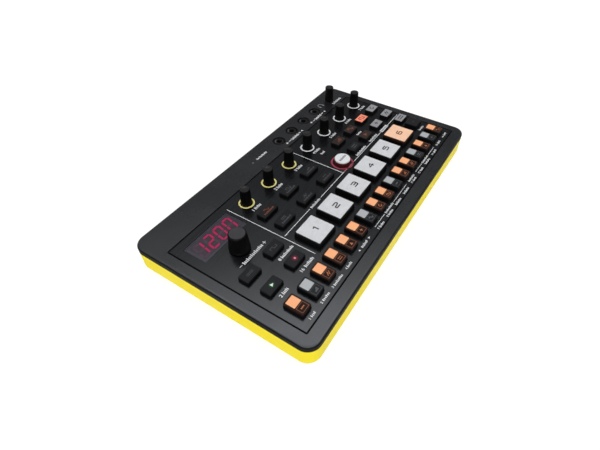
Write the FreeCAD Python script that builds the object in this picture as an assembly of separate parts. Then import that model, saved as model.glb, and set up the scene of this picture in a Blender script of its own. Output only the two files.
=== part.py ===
import FreeCAD, Part
import os

Vector = FreeCAD.Vector
ORIGIN = Vector(0, 0, 0)
UP = Vector(0, 0, 1)
TO_BACK = Vector(0, 1, 0)

# All sizes in millimetres. X runs along the long side, Y to the back, Z up.
# The origin lies on the table, in the middle of the case.

# Case shells
case_length = 188.0
case_depth = 106.0
case_corner_radius = 7.0
foot_stand = 0.5
lower_case_height = 10.5
upper_case_height = 3.5
case_wall = 2.0
floor_thickness = 1.8
roof_thickness = 2.4
upper_edge_round = 1.2
lower_edge_chamfer = 0.5
lip_thickness = 0.9
lip_height = 1.5
lip_gap = 0.15

# Inlaid control panel and the shadow groove around it
panel_from_end = 6.55
panel_front = -45.8
panel_back = 33.9
panel_thickness = 1.0
panel_corner_radius = 0.8
groove_width = 0.55

# Circuit board
board_thickness = 1.6
board_top = 5.2
board_edge_gap = 0.8
board_corner_radius = 4.5

# Case screws and the bosses they hold together
screw_from_end = 6.7
screw_from_side = 6.4
screw_shank_radius = 1.25
screw_head_radius = 2.2
screw_head_height = 1.1
screw_head_recess = 0.2
screw_length = 8.6
screw_slot_width = 0.6
screw_slot_length = 2.8
screw_slot_depth = 0.5
screw_gap = 0.05
boss_radius = 3.0

# Ribs on the floor that carry the middle of the board
rib_columns = [-56.0, -18.0, 18.0, 56.0]
rib_thickness = 1.2
rib_front = -42.0
rib_back = 26.0

# Rubber feet
foot_radius = 5.0
foot_seat_depth = 0.7
foot_gap = 0.1
foot_from_end = 14.0
foot_from_side = 13.0

# Keys in general: each one has a cap, a collar under the roof and a raised face
key_gap = 0.25
collar_overhang = 0.5
collar_thickness = 1.0
collar_seat_gap = 0.15
key_travel = 0.9
pressed_key_gap = 0.15
face_rise = 0.15

# Pads
pad_count = 6
pad_pitch = 20.0
pad_first_x = -38.75
pad_row_y = -19.05
pad_size = 15.4
pad_height = 3.35
pad_corner_cut = 0.8
pad_chamfer = 0.5
pad_face_margin = 0.65
pad_face_cut = 0.5

# Step keys: the coloured window fills the rear part of the cap
step_count = 16
step_pitch = 10.62
step_first_x = -79.3
step_last_from_panel_end = 7.45
step_row_y = -35.6
step_width = 6.8
step_depth = 10.6
step_height = 2.65
step_corner_cut = 0.6
step_chamfer = 0.5
step_window_width = 5.1
step_window_depth = 4.9
step_window_from_back = 0.85

# Rectangular buttons, all of one height
button_height = 2.15
button_corner_cut = 0.7
button_chamfer = 0.35
button_face_margin = 0.6

transport_width = 10.0
transport_depth = 6.2
transport_places = {
    "shift_button": (-77.1, -8.05),
    "loop_button": (-59.1, -8.05),
    "play_button": (-77.1, -20.4),
    "record_button": (-59.1, -20.4),
}

function_width = 11.4
function_depth = 6.0
function_columns = [-40.0, -20.0, 0.0]
function_rows = [9.95, -1.3]

page_width = 9.2
page_depth = 5.8
page_columns = [34.5, 49.83, 65.17, 80.5]
page_rows = [10.0, -1.2]

side_places = {
    "side_button_upper": (80.5, -11.8, 5.8),
    "side_button_lower": (80.5, -21.1, 8.3),
}

# Round sampling button
round_button_x = 18.9
round_button_y = -1.7
round_button_radius = 4.7
round_button_height = 3.3
round_button_edge = 0.4

# Slim knobs on their pots
knob_pitch = 20.0
knob_first_x = -40.0
knob_row_y = 24.1
knob_count = 7
volume_from_right_end = 17.4
volume_off_strip_middle = -1.32
knob_base_radius = 3.05
knob_top_radius = 2.8
knob_height = 10.2
knob_stand_off = 0.4
knob_edge = 0.3
knob_dish_radius = 2.1
knob_dish_depth = 0.45
knob_shaft_radius = 1.75
shaft_hole_gap = 0.35
shaft_run_gap = 0.06
shaft_depth_in_pot = 4.0
pot_size = 9.6

# Larger value knob on its encoder
value_x = -66.8
value_y = 6.6
value_base_radius = 5.4
value_top_radius = 4.5
value_height = 11.0
value_stand_off = 0.5
value_edge = 0.6
value_shaft_radius = 3.0
value_skirt_height = 1.2
encoder_size = 11.0

# Display
display_x = -67.2
display_y = 21.6
display_length = 30.4
display_depth = 14.0
display_below_panel = 0.15
display_gap = 0.15
display_lens_recess = 0.3
display_frame = 0.6

# Sockets for 3.5 mm plugs in the top
jacks_from_right_end = [78.0, 64.0, 50.0, 36.0]
jacks_off_strip_middle = -0.72
jack_bore_radius = 1.8
jack_barrel_radius = 3.1
jack_hole_radius = 3.6
jack_body_size = 6.5
jack_below_panel = 0.25
jack_above_floor = 0.3
jack_board_gap = 0.1

# Sockets for 3.5 mm plugs in the rear
rear_jacks_from_right_end = [71.0, 57.0]
rear_jack_height = 5.0
rear_jack_width = 6.4
rear_jack_depth = 12.0
rear_jack_barrel_radius = 2.4
rear_jack_hole_gap = 0.15
rear_part_recess = 0.3

# USB-C socket in the rear
usb_from_right_end = 27.4
usb_width = 8.94
usb_height = 3.2
usb_shell = 0.3
usb_depth = 7.4
usb_hole_gap = 0.3
usb_tongue_width = 6.7
usb_tongue_height = 0.7
usb_tongue_recess = 0.8

# Slide switch for power in the rear
switch_from_right_end = 93.0
switch_travel = 2.0
switch_knob_width = 2.8
switch_knob_height = 2.0
switch_stem_width = 1.4
switch_stem_height = 1.2
switch_stem_reach = 1.5
switch_gap = 0.15
switch_body_length = 9.0
switch_body_depth = 4.0
switch_body_height = 4.2

# Charge light guide and microphone
light_from_right_end = 104.7
light_radius = 0.7
light_gap = 0.1
mic_x = 19.3
mic_y = 10.6
mic_hole_radius = 0.6
mic_length = 4.0
mic_width = 3.0

# Battery pack, in a notch of the board
battery_from_left_end = 10.0
battery_from_light = 10.9
battery_from_pots = 3.5
battery_from_wall = 1.8
battery_height = 7.4
battery_round = 1.5
battery_notch_gap = 0.5

# Switches on the board, one under each key
tact_size = 6.0
tact_body_height = 3.2
tact_button_size = 3.0

# What stands on the board stops just under the roof and in front of the rear lip
part_below_roof = 0.1
part_before_lip = 0.1

# Levels that follow from the sizes above
lower_bottom = foot_stand
parting = lower_bottom + lower_case_height
panel_top = parting + upper_case_height
floor_top = lower_bottom + floor_thickness
roof_bottom = panel_top - roof_thickness
recess_bottom = panel_top - panel_thickness
board_bottom = board_top - board_thickness
collar_top = roof_bottom - collar_seat_gap
collar_bottom = collar_top - collar_thickness
tact_top = collar_bottom - key_travel - pressed_key_gap
inner_length = case_length - 2 * case_wall
inner_depth = case_depth - 2 * case_wall
rear_inside = inner_depth / 2
rear_outside = case_depth / 2
parts_back = rear_inside - lip_gap - lip_thickness - part_before_lip

# Places that follow from the sizes above
right_end = case_length / 2
panel_length = case_length - 2 * panel_from_end
strip_middle = (panel_back + groove_width + rear_outside) / 2
jack_columns = [right_end - distance for distance in jacks_from_right_end]
jack_row_y = strip_middle + jacks_off_strip_middle
volume_place = (right_end - volume_from_right_end, strip_middle + volume_off_strip_middle)
rear_jack_columns = [right_end - distance for distance in rear_jacks_from_right_end]
usb_x = right_end - usb_from_right_end
switch_x = right_end - switch_from_right_end
light_x = right_end - light_from_right_end
battery_left = -right_end + battery_from_left_end
battery_right = light_x - battery_from_light
battery_front = knob_row_y + pot_size / 2 + battery_from_pots
battery_back = rear_inside - battery_from_wall
step_last_x = step_first_x + (step_count - 1) * step_pitch
spread = (panel_length / 2 - step_last_from_panel_end) / step_last_x


def across(x):
    """Place along X on the panel, spread so that the last step key keeps its distance from the end."""
    return x * spread


def box(x, y, width, depth, low, high):
    """Upright box centred on x, y."""
    corner = Vector(x - width / 2, y - depth / 2, low)
    return Part.makeBox(width, depth, high - low, corner)


def rod(x, y, radius, low, high):
    """Upright cylinder."""
    return Part.makeCylinder(radius, high - low, Vector(x, y, low), UP)


def rear_rod(x, z, radius, front, back):
    """Cylinder that runs to the back."""
    return Part.makeCylinder(radius, back - front, Vector(x, front, z), TO_BACK)


def trimmed_block(x, y, width, depth, cut, low, high):
    """Upright block with its upright edges cut off at 45 degrees."""
    block = box(x, y, width, depth, low, high)
    upright = [edge for edge in block.Edges if is_upright(edge)]
    return block.makeChamfer(cut, upright)


def rounded_block(x, y, width, depth, radius, low, high):
    """Upright block with rounded vertical edges."""
    block = box(x, y, width, depth, low, high)
    upright = [edge for edge in block.Edges if is_upright(edge)]
    return block.makeFillet(radius, upright)


def is_upright(edge):
    first, last = edge.Vertexes[0].Point, edge.Vertexes[-1].Point
    return abs(first.x - last.x) + abs(first.y - last.y) < 1e-6


def edges_at(shape, level):
    """Edges that lie flat at one level."""
    flat = []
    for edge in shape.Edges:
        limits = edge.BoundBox
        if abs(limits.ZMin - level) < 1e-6 and abs(limits.ZMax - level) < 1e-6:
            flat.append(edge)
    return flat


def joined(shapes):
    """One solid from pieces that touch or overlap."""
    return shapes[0].multiFuse(shapes[1:]).removeSplitter()


def without(shape, tools):
    return shape.cut(tools)


def turned(profile, x, y, spline_slants=False):
    """Solid of revolution about the upright line through x, y.

    The profile is a closed list of (radius, level) points. Its slanted sides can be
    splines of one span: on a slim part their surfaces take far fewer facets than cones.
    """
    points = [Vector(x + radius, y, level) for radius, level in profile]
    edges = []
    for start, end in zip(points, points[1:] + points[:1]):
        slanted = start.x != end.x and start.z != end.z
        if not (slanted and spline_slants):
            edges.append(Part.makeLine(start, end))
        else:
            slant = Part.BSplineCurve()
            slant.buildFromPoles([start, end], False, 1)
            edges.append(slant.toShape())
    return Part.Face(Part.Wire(edges)).revolve(Vector(x, y, 0), UP, 360)


# Keys


def key_places():
    """Every sprung key with the size of its cap: name, x, y, width, depth, corner cut."""
    places = []
    for index in range(pad_count):
        x = across(pad_first_x + index * pad_pitch)
        places.append((f"pad_{index + 1}", x, pad_row_y, pad_size, pad_size, pad_corner_cut))
    for index in range(step_count):
        x = across(step_first_x + index * step_pitch)
        name = f"step_key_{index + 1:02d}"
        places.append((name, x, step_row_y, step_width, step_depth, step_corner_cut))
    for name, (x, y) in transport_places.items():
        places.append((name, across(x), y, transport_width, transport_depth, button_corner_cut))
    number = 0
    for y in function_rows:
        for x in function_columns:
            number += 1
            name = f"function_button_{number}"
            places.append((name, across(x), y, function_width, function_depth, button_corner_cut))
    number = 0
    for y in page_rows:
        for x in page_columns:
            number += 1
            name = f"page_button_{number}"
            places.append((name, across(x), y, page_width, page_depth, button_corner_cut))
    for name, (x, y, depth) in side_places.items():
        places.append((name, across(x), y, page_width, depth, button_corner_cut))
    return places


def key_collar(x, y, width, depth):
    """Flat collar that holds a key under the roof."""
    spread = 2 * (key_gap + collar_overhang)
    return box(x, y, width + spread, depth + spread, collar_bottom, collar_top)


def key_cap(x, y, width, depth, cut, height, chamfer):
    """Cap of a key with its upper edge chamfered, and the level of its top."""
    top = panel_top + height
    cap = trimmed_block(x, y, width, depth, cut, collar_top, top)
    cap = cap.makeChamfer(chamfer, edges_at(cap, top))
    return cap, top


def pad(x, y):
    """Square pad: a frame with a pale face standing a little proud."""
    cap, top = key_cap(x, y, pad_size, pad_size, pad_corner_cut, pad_height, pad_chamfer)
    face_size = pad_size - 2 * pad_face_margin
    face = trimmed_block(x, y, face_size, face_size, pad_face_cut, top - face_rise, top + face_rise)
    return joined([cap, key_collar(x, y, pad_size, pad_size), face])


def step_key(x, y):
    """Step key with the coloured window raised in its rear part."""
    cap, top = key_cap(x, y, step_width, step_depth, step_corner_cut, step_height, step_chamfer)
    window_y = y + step_depth / 2 - step_window_from_back - step_window_depth / 2
    window = box(x, window_y, step_window_width, step_window_depth, top - face_rise, top + face_rise)
    return joined([cap, key_collar(x, y, step_width, step_depth), window])


def flat_button(x, y, width, depth):
    """Rectangular button with a raised face."""
    cap, top = key_cap(x, y, width, depth, button_corner_cut, button_height, button_chamfer)
    face_width = width - 2 * button_face_margin
    face_depth = depth - 2 * button_face_margin
    face = box(x, y, face_width, face_depth, top - face_rise, top + face_rise)
    return joined([cap, key_collar(x, y, width, depth), face])


def sampling_button():
    """Round button with a chamfered upper edge."""
    x, y = across(round_button_x), round_button_y
    top = panel_top + round_button_height
    collar_radius = round_button_radius + key_gap + collar_overhang
    return turned(
        [
            (0, collar_bottom),
            (collar_radius, collar_bottom),
            (collar_radius, collar_top),
            (round_button_radius, collar_top),
            (round_button_radius, top - round_button_edge),
            (round_button_radius - round_button_edge, top),
            (0, top),
        ],
        x,
        y,
    )


def panel_key_holes(low, high):
    """Holes that follow the outline of each key."""
    holes = []
    for name, x, y, width, depth, cut in key_places():
        holes.append(trimmed_block(x, y, width + 2 * key_gap, depth + 2 * key_gap, cut, low, high))
    return holes


def roof_key_holes(low, high):
    """Plain holes for the keys, covered by the panel."""
    holes = []
    for name, x, y, width, depth, cut in key_places():
        holes.append(box(x, y, width + 2 * key_gap, depth + 2 * key_gap, low, high))
    return holes


def round_button_hole(low, high):
    x, y = across(round_button_x), round_button_y
    return rod(x, y, round_button_radius + key_gap, low, high)


# Knobs


def knob_places():
    """Slim knobs of the panel: name, x, y."""
    places = []
    for index in range(knob_count):
        x = across(knob_first_x + index * knob_pitch)
        places.append((f"control_knob_{index + 1}", x, knob_row_y))
    return places


def slim_knob(x, y):
    """Slender tapered knob with a dished top, in one piece with its shaft."""
    low = panel_top + knob_stand_off
    top = panel_top + knob_height
    tip = roof_bottom - shaft_depth_in_pot
    return turned(
        [
            (0, tip),
            (knob_shaft_radius, tip),
            (knob_shaft_radius, low),
            (knob_base_radius, low),
            (knob_top_radius, top - knob_edge),
            (knob_top_radius - knob_edge, top),
            (knob_dish_radius, top),
            (knob_dish_radius, top - knob_dish_depth),
            (0, top - knob_dish_depth),
        ],
        x,
        y,
        spline_slants=True,
    )


def value_knob():
    """Larger tapered knob with a short skirt, in one piece with its shaft."""
    low = panel_top + value_stand_off
    top = panel_top + value_height
    tip = roof_bottom - shaft_depth_in_pot
    skirt_top = low + value_skirt_height
    return turned(
        [
            (0, tip),
            (value_shaft_radius, tip),
            (value_shaft_radius, low),
            (value_base_radius, low),
            (value_base_radius, skirt_top),
            (value_top_radius, top - value_edge),
            (value_top_radius - value_edge, top),
            (0, top),
        ],
        across(value_x),
        value_y,
    )


def panel_shaft_holes(low, high):
    """Round holes for the shafts of the knobs on the panel."""
    holes = []
    for name, x, y in knob_places():
        holes.append(rod(x, y, knob_shaft_radius + shaft_hole_gap, low, high))
    x, y = across(value_x), value_y
    holes.append(rod(x, y, value_shaft_radius + shaft_hole_gap, low, high))
    return holes


def roof_shaft_holes(low, high):
    """Plain square holes for the same shafts, covered by the panel."""
    holes = []
    for name, x, y in knob_places():
        size = 2 * (knob_shaft_radius + shaft_hole_gap)
        holes.append(box(x, y, size, size, low, high))
    x, y = across(value_x), value_y
    size = 2 * (value_shaft_radius + shaft_hole_gap)
    holes.append(box(x, y, size, size, low, high))
    return holes


# Case


def rear_holes():
    """Cut-outs in the rear wall for the sockets and the power switch."""
    front = rear_inside - lip_gap - lip_thickness - 1
    back = rear_outside + 1
    holes = []
    for x in rear_jack_columns:
        radius = rear_jack_barrel_radius + rear_jack_hole_gap
        holes.append(rear_rod(x, rear_jack_axis(), radius, front, back))
    usb_low = board_top - usb_hole_gap
    usb_high = board_top + usb_height + usb_hole_gap
    mouth = box(usb_x, (front + back) / 2, usb_width + 2 * usb_hole_gap, back - front, usb_low, usb_high)
    along = [edge for edge in mouth.Edges if abs(edge.Length - (back - front)) < 1e-6]
    holes.append(mouth.makeFillet(usb_height / 2, along))
    slot_length = switch_knob_width + switch_travel + 2 * switch_gap
    slot_x = switch_x + switch_travel / 2
    slot_low = switch_axis() - switch_knob_height / 2 - switch_gap
    slot_high = switch_axis() + switch_knob_height / 2 + switch_gap
    holes.append(box(slot_x, (front + back) / 2, slot_length, back - front, slot_low, slot_high))
    return holes


def rear_jack_axis():
    return board_top + rear_jack_height / 2


def switch_axis():
    return board_top + switch_body_height / 2


def four_corners(from_end, from_side):
    """The four places at one distance from the ends and the sides."""
    x = case_length / 2 - from_end
    y = case_depth / 2 - from_side
    return [(-x, -y), (x, -y), (-x, y), (x, y)]


def foot_places():
    return four_corners(foot_from_end, foot_from_side)


def screw_places():
    return four_corners(screw_from_end, screw_from_side)


def lower_case():
    """Tray with posts and ribs under the board, screw seats and shallow seats for the feet."""
    outer = rounded_block(0, 0, case_length, case_depth, case_corner_radius, lower_bottom, parting)
    outer = outer.makeChamfer(lower_edge_chamfer, edges_at(outer, lower_bottom))
    inner_radius = case_corner_radius - case_wall
    inner = rounded_block(0, 0, inner_length, inner_depth, inner_radius, floor_top, parting)
    posts = [rod(x, y, boss_radius, floor_top, board_bottom) for x, y in screw_places()]
    rib_middle = (rib_front + rib_back) / 2
    rib_length = rib_back - rib_front
    ribs = [box(x, rib_middle, rib_thickness, rib_length, floor_top, board_bottom) for x in rib_columns]
    tray = joined([without(outer, [inner])] + posts + ribs)
    tools = rear_holes()
    seat = lower_bottom + screw_head_recess + screw_head_height
    for x, y in screw_places():
        tools.append(rod(x, y, screw_head_radius + screw_gap, lower_bottom - 1, seat))
        tools.append(rod(x, y, screw_shank_radius + screw_gap, lower_bottom, board_bottom))
    for x, y in foot_places():
        tools.append(rod(x, y, foot_radius + foot_gap, lower_bottom - 1, lower_bottom + foot_seat_depth))
    return without(tray, tools)


def upper_case():
    """Cover with a lip that enters the tray, a recess for the panel and all openings."""
    outer = rounded_block(0, 0, case_length, case_depth, case_corner_radius, parting, panel_top)
    outer = outer.makeFillet(upper_edge_round, edges_at(outer, panel_top))
    lip_length = inner_length - 2 * lip_gap
    lip_depth = inner_depth - 2 * lip_gap
    lip_radius = case_corner_radius - case_wall - lip_gap
    lip_low = parting - lip_height
    lip = rounded_block(0, 0, lip_length, lip_depth, lip_radius, lip_low, parting)
    room_length = lip_length - 2 * lip_thickness
    room_depth = lip_depth - 2 * lip_thickness
    room = rounded_block(0, 0, room_length, room_depth, lip_radius - lip_thickness, lip_low, roof_bottom)
    bosses = [rod(x, y, boss_radius, board_top, roof_bottom) for x, y in screw_places()]
    cover = joined([without(joined([outer, lip]), [room])] + bosses)
    tools = [panel_block(groove_width, recess_bottom, panel_top + 1)]
    tools += roof_key_holes(roof_bottom - 1, panel_top)
    tools += roof_shaft_holes(roof_bottom - 1, panel_top)
    tools.append(round_button_hole(roof_bottom - 1, panel_top))
    volume_hole = knob_shaft_radius + shaft_hole_gap
    tools.append(rod(volume_place[0], volume_place[1], volume_hole, roof_bottom - 1, panel_top + 1))
    tools += rear_holes()
    screw_tip = lower_bottom + screw_head_recess + screw_length
    for x, y in screw_places():
        tools.append(rod(x, y, screw_shank_radius + screw_gap, board_top - 1, screw_tip + screw_gap))
    for x in jack_columns:
        tools.append(rod(x, jack_row_y, jack_hole_radius, roof_bottom - 1, panel_top + 1))
    tools.append(display_block(display_gap, roof_bottom - 1, panel_top))
    tools.append(rod(light_x, jack_row_y, light_radius + light_gap, roof_bottom - 1, panel_top + 1))
    tools.append(rod(across(mic_x), mic_y, mic_hole_radius, roof_bottom - 1, panel_top))
    return without(cover, tools)


def panel_block(margin, low, high):
    """Outline of the panel grown by a margin."""
    middle = (panel_front + panel_back) / 2
    length = panel_length + 2 * margin
    depth = panel_back - panel_front + 2 * margin
    return rounded_block(0, middle, length, depth, panel_corner_radius, low, high)


def display_block(margin, low, high):
    length = display_length + 2 * margin
    depth = display_depth + 2 * margin
    return box(across(display_x), display_y, length, depth, low, high)


def control_panel():
    """Thin sheet laid in the recess, pierced for every control."""
    sheet = panel_block(0, recess_bottom, panel_top)
    tools = panel_key_holes(recess_bottom - 1, panel_top + 1)
    tools += panel_shaft_holes(recess_bottom - 1, panel_top + 1)
    tools.append(round_button_hole(recess_bottom - 1, panel_top + 1))
    tools.append(display_block(display_gap, recess_bottom - 1, panel_top + 1))
    tools.append(rod(across(mic_x), mic_y, mic_hole_radius, recess_bottom - 1, panel_top + 1))
    return without(sheet, tools)


def rubber_feet():
    """Four round feet, seated in the tray."""
    feet = []
    for x, y in foot_places():
        feet.append(rod(x, y, foot_radius, 0, lower_bottom + foot_seat_depth))
    return Part.makeCompound(feet)


def case_screws():
    """Four self-tapping screws with a cross slot in the head."""
    screws = []
    head_low = lower_bottom + screw_head_recess
    for x, y in screw_places():
        head = rod(x, y, screw_head_radius, head_low, head_low + screw_head_height)
        shank = rod(x, y, screw_shank_radius, head_low, head_low + screw_length)
        slot_top = head_low + screw_slot_depth
        slots = [
            box(x, y, screw_slot_length, screw_slot_width, head_low - 1, slot_top),
            box(x, y, screw_slot_width, screw_slot_length, head_low - 1, slot_top),
        ]
        screws.append(without(joined([head, shank]), slots))
    return Part.makeCompound(screws)


def battery_pack():
    """Flat pack with rounded long edges, lying on the floor of the tray."""
    width = battery_right - battery_left
    depth = battery_back - battery_front
    x = (battery_left + battery_right) / 2
    y = (battery_front + battery_back) / 2
    pack = box(x, y, width, depth, floor_top, floor_top + battery_height)
    long_edges = [edge for edge in pack.Edges if abs(edge.Length - width) < 1e-6]
    return pack.makeFillet(battery_round, long_edges)


# Circuit board with what is soldered to it


def bare_board():
    """Board with its notch, holes and the switches under the keys."""
    length = inner_length - 2 * board_edge_gap
    depth = inner_depth - 2 * board_edge_gap
    board = rounded_block(0, 0, length, depth, board_corner_radius, board_bottom, board_top)
    notch_width = battery_right - battery_left + 2 * battery_notch_gap
    notch_front = battery_front - battery_notch_gap
    notch_x = (battery_left + battery_right) / 2
    notch_depth = depth - notch_front
    notch_y = notch_front + notch_depth / 2
    tools = [box(notch_x, notch_y, notch_width, notch_depth, board_bottom - 1, board_top + 1)]
    for x, y in screw_places():
        tools.append(rod(x, y, screw_shank_radius + screw_gap, board_bottom - 1, board_top + 1))
    hole = jack_body_size + 2 * jack_board_gap
    for x in jack_columns:
        tools.append(box(x, jack_row_y, hole, hole, board_bottom - 1, board_top + 1))
    board = without(board, tools)
    switches = []
    places = [(x, y) for name, x, y, width, depth, cut in key_places()]
    places.append((across(round_button_x), round_button_y))
    for x, y in places:
        switches.append(box(x, y, tact_size, tact_size, board_top, board_top + tact_body_height))
        switches.append(box(x, y, tact_button_size, tact_button_size, board_top + tact_body_height, tact_top))
    return joined([board] + switches)


def pot_body(x, y, size, shaft_radius):
    """Square control body with a bush bored for its shaft."""
    high = roof_bottom - part_below_roof
    body = box(x, y, size, size, board_top, high)
    bore = rod(x, y, shaft_radius + shaft_run_gap, roof_bottom - shaft_depth_in_pot - shaft_run_gap, high)
    return without(body, [bore])


def top_jack(x):
    """Upright 3.5 mm socket with a round barrel up through the roof."""
    y = jack_row_y
    low = floor_top + jack_above_floor
    shoulder = roof_bottom - part_below_roof
    mouth = panel_top - jack_below_panel
    body = box(x, y, jack_body_size, jack_body_size, low, shoulder)
    barrel = rod(x, y, jack_barrel_radius, shoulder, mouth)
    bore = rod(x, y, jack_bore_radius, low - 1, mouth + 1)
    return without(joined([body, barrel]), [bore])


def rear_jack(x):
    """Level 3.5 mm socket with its barrel in the rear wall."""
    z = rear_jack_axis()
    mouth = rear_outside - rear_part_recess
    front = mouth - rear_jack_depth
    body_depth = parts_back - front
    body_top = board_top + rear_jack_height
    body = box(x, front + body_depth / 2, rear_jack_width, body_depth, board_top, body_top)
    barrel = rear_rod(x, z, rear_jack_barrel_radius, parts_back, mouth)
    bore = rear_rod(x, z, jack_bore_radius, front - 1, mouth + 1)
    return without(joined([body, barrel]), [bore])


def usb_socket():
    """Flat oval shell with the contact tongue inside."""
    back = rear_outside - rear_part_recess
    middle = back - usb_depth / 2
    shell = box(usb_x, middle, usb_width, usb_depth, board_top, board_top + usb_height)
    inner_width = usb_width - 2 * usb_shell
    inner_height = usb_height - 2 * usb_shell
    axis = board_top + usb_height / 2
    hollow_depth = usb_depth - usb_shell
    hollow = box(
        usb_x,
        back - hollow_depth / 2,
        inner_width,
        hollow_depth,
        axis - inner_height / 2,
        axis + inner_height / 2,
    )
    shell = shell.makeFillet(0.49 * usb_height, runs_to_back(shell, usb_depth))
    hollow = hollow.makeFillet(0.49 * inner_height, runs_to_back(hollow, hollow_depth))
    tongue_depth = usb_depth - usb_tongue_recess
    tongue = box(
        usb_x,
        back - usb_tongue_recess - tongue_depth / 2,
        usb_tongue_width,
        tongue_depth,
        axis - usb_tongue_height / 2,
        axis + usb_tongue_height / 2,
    )
    return joined([without(shell, [hollow]), tongue])


def runs_to_back(shape, length):
    """Edges of a block that run to the back."""
    found = []
    for edge in shape.Edges:
        limits = edge.BoundBox
        if abs(limits.YMax - limits.YMin - length) < 1e-6:
            found.append(edge)
    return found


def switch_body():
    """Body of the slide switch, slotted for the stem of the slider."""
    back = parts_back
    middle = back - switch_body_depth / 2
    slot_x = switch_x + switch_travel / 2
    body_top = board_top + switch_body_height
    body = box(slot_x, middle, switch_body_length, switch_body_depth, board_top, body_top)
    slot_length = switch_stem_width + switch_travel + 2 * switch_gap
    slot_depth = switch_stem_reach + switch_gap
    slot_high = switch_axis() + switch_stem_height / 2 + switch_gap
    slot_low = switch_axis() - switch_stem_height / 2 - switch_gap
    slot = box(slot_x, back - slot_depth / 2, slot_length, slot_depth, slot_low, slot_high)
    return without(body, [slot])


def power_switch():
    """Slider: a small block in the rear wall on a stem that enters the switch."""
    knob_front = parts_back + switch_gap
    knob_back = rear_outside - rear_part_recess
    z = switch_axis()
    knob = box(
        switch_x,
        (knob_front + knob_back) / 2,
        switch_knob_width,
        knob_back - knob_front,
        z - switch_knob_height / 2,
        z + switch_knob_height / 2,
    )
    stem_front = parts_back - switch_stem_reach
    stem = box(
        switch_x,
        (stem_front + knob_front) / 2,
        switch_stem_width,
        knob_front - stem_front,
        z - switch_stem_height / 2,
        z + switch_stem_height / 2,
    )
    return joined([knob, stem])


def display_module():
    """Display block that stands on the board and fills the window of the panel."""
    face = panel_top - display_below_panel
    block = display_block(0, board_top, face)
    lens = display_block(-display_frame, face - display_lens_recess, face + 1)
    return without(block, [lens])


def circuit_board():
    """Board and every part soldered to it, each as its own solid."""
    pieces = [bare_board()]
    for name, x, y in knob_places():
        pieces.append(pot_body(x, y, pot_size, knob_shaft_radius))
    pieces.append(pot_body(volume_place[0], volume_place[1], pot_size, knob_shaft_radius))
    pieces.append(pot_body(across(value_x), value_y, encoder_size, value_shaft_radius))
    pieces += [top_jack(x) for x in jack_columns]
    pieces += [rear_jack(x) for x in rear_jack_columns]
    pieces.append(usb_socket())
    pieces.append(switch_body())
    pieces.append(display_module())
    light_top = panel_top - light_gap
    pieces.append(rod(light_x, jack_row_y, light_radius, board_top, light_top))
    mic_top = roof_bottom - part_below_roof
    pieces.append(box(across(mic_x), mic_y, mic_length, mic_width, board_top, mic_top))
    return Part.makeCompound(pieces)


# All sub-parts


def all_parts():
    parts = {
        "top_case": upper_case(),
        "control_panel": control_panel(),
        "bottom_case": lower_case(),
        "circuit_board": circuit_board(),
        "battery_pack": battery_pack(),
        "case_screws": case_screws(),
        "rubber_feet": rubber_feet(),
        "value_knob": value_knob(),
        "volume_knob": slim_knob(*volume_place),
        "sampling_button": sampling_button(),
        "power_switch": power_switch(),
    }
    for name, x, y in knob_places():
        parts[name] = slim_knob(x, y)
    for name, x, y, width, depth, cut in key_places():
        if name.startswith("pad"):
            parts[name] = pad(x, y)
        elif name.startswith("step"):
            parts[name] = step_key(x, y)
        else:
            parts[name] = flat_button(x, y, width, depth)
    return parts


os.makedirs("parts", exist_ok=True)
for node, shape in all_parts().items():
    shape.exportStep(f"parts/{node}.step")
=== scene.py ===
import math

import bmesh
import bpy
from mathutils import Matrix, Vector


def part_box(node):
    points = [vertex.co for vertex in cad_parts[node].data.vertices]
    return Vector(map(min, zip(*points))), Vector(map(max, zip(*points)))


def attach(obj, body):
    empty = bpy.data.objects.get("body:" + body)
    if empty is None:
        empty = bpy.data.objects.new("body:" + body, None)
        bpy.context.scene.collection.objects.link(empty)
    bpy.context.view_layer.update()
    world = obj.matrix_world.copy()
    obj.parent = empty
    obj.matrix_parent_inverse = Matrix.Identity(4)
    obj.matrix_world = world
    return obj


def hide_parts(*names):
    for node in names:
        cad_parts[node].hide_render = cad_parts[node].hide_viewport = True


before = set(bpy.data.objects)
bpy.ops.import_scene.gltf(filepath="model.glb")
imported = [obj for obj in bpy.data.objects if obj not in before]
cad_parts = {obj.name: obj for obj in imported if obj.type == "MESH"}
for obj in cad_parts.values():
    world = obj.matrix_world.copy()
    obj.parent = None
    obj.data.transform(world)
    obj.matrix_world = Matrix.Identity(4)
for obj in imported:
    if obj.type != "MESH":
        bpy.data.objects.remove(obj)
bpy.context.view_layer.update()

# Shapes are written in millimetres, with heights above the table
MM = 0.001
FULL_TURN = 2 * math.pi
PANEL = 14.5
GLASS = 14.05
SOCKET_FACE = 14.25
COLLAR_LOW = 10.95
COLLAR_HIGH = 11.95
COLLAR_SPREAD = 1.5
KNOB_FOOT = 8.1
INK_RISE = 0.02
INK_DEPTH = 0.02
HAIR = 0.001
SHARP_EDGE = math.radians(38)


def linear(value):
    """Light of one channel, from its screen value of 0 to 255."""
    share = value / 255
    return share / 12.92 if share <= 0.04045 else ((share + 0.055) / 1.055) ** 2.4


def srgb(screen):
    return (*(linear(value) for value in screen), 1.0)


def scaled(colour, factor):
    return (*(min(1.0, channel * factor) for channel in colour[:3]), 1.0)


def put(name, data):
    """New object in the scene."""
    made = bpy.data.objects.new(name, data)
    bpy.context.scene.collection.objects.link(made)
    return made


# Materials, whose colours are given as screen values

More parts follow.
